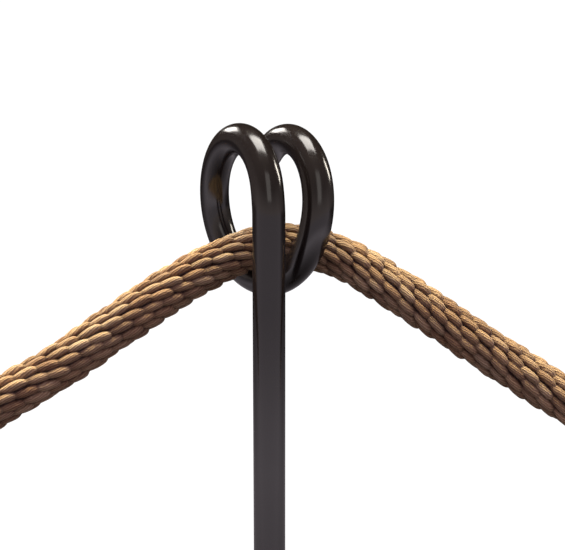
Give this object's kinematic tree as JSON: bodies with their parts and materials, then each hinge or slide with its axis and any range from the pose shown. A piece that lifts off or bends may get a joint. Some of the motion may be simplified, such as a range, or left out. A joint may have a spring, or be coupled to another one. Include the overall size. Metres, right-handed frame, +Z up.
{
  "type": "rope barrier stanchion",
  "caption": "Round-bar barrier post on a weighted base, its top wound into an open pigtail coil that carries a thick braided rope ending in swivelling snap hooks.",
  "frame": {"origin": "on the floor, at the middle of the base, under the stem's axis", "axes": "+Z up along the stem; the coil winds along +X and its loop stands behind the stem in +Y; the front faces -Y"},
  "size_m": [0.486, 0.3498, 0.9965],
  "materials": {
    "dark_bronze": "semi-gloss dark bronze powder coat",
    "cast_iron": "rough cast, primed",
    "rubber": "matt moulded rubber",
    "steel": "zinc plated",
    "aged_brass": "aged, brushed",
    "rope": "tan braided fibre, slightly waxy"
  },
  "bodies": {
    "stanchion": {"post": "dark_bronze", "floor_ring": "rubber", "base_weight": "cast_iron", "base_cover": "dark_bronze", "post_collar": "dark_bronze", "collar_screw": "steel", "plain_washer": "steel", "spring_washer": "steel", "post_nut": "steel", "rope": "rope", "left_rope_cap": "aged_brass", "left_cap_screw_1": "steel", "left_cap_screw_2": "steel", "right_rope_cap": "aged_brass", "right_cap_screw_1": "steel", "right_cap_screw_2": "steel"},
    "left_hook": {"left_hook_body": "aged_brass", "left_swivel_stud": "aged_brass", "left_swivel_washer": "steel", "left_gate_pin": "steel"},
    "left_hook_gate": {"left_gate": "aged_brass", "left_gate_spring": "steel"},
    "right_hook": {"right_hook_body": "aged_brass", "right_swivel_stud": "aged_brass", "right_swivel_washer": "steel", "right_gate_pin": "steel"},
    "right_hook_gate": {"right_gate": "aged_brass", "right_gate_spring": "steel"}
  },
  "joints": [
    {"name": "left_swivel", "type": "hinge", "parent": "stanchion", "child": "left_hook", "pos_m": [-0.16525, 0.0784, 0.82084], "axis": [-0.8839, 0.1998, -0.4228], "continuous": true},
    {"name": "left_gate_hinge", "type": "hinge", "parent": "left_hook", "child": "left_hook_gate", "pos_m": [-0.21753, 0.09022, 0.80091], "axis": [-0.2205, -0.9754, 0], "range_deg": [0, 26], "stiffness_Nm_per_rad": 0.04, "springref_deg": -22.92},
    {"name": "right_swivel", "type": "hinge", "parent": "stanchion", "child": "right_hook", "pos_m": [0.16893, -0.11666, 0.81251], "axis": [0.5383, -0.6728, -0.5075], "continuous": true},
    {"name": "right_gate_hinge", "type": "hinge", "parent": "right_hook", "child": "right_hook_gate", "pos_m": [0.20107, -0.15684, 0.78755], "axis": [0.7809, 0.6247, 0], "range_deg": [0, 26], "stiffness_Nm_per_rad": 0.04, "springref_deg": -22.92}
  ]
}
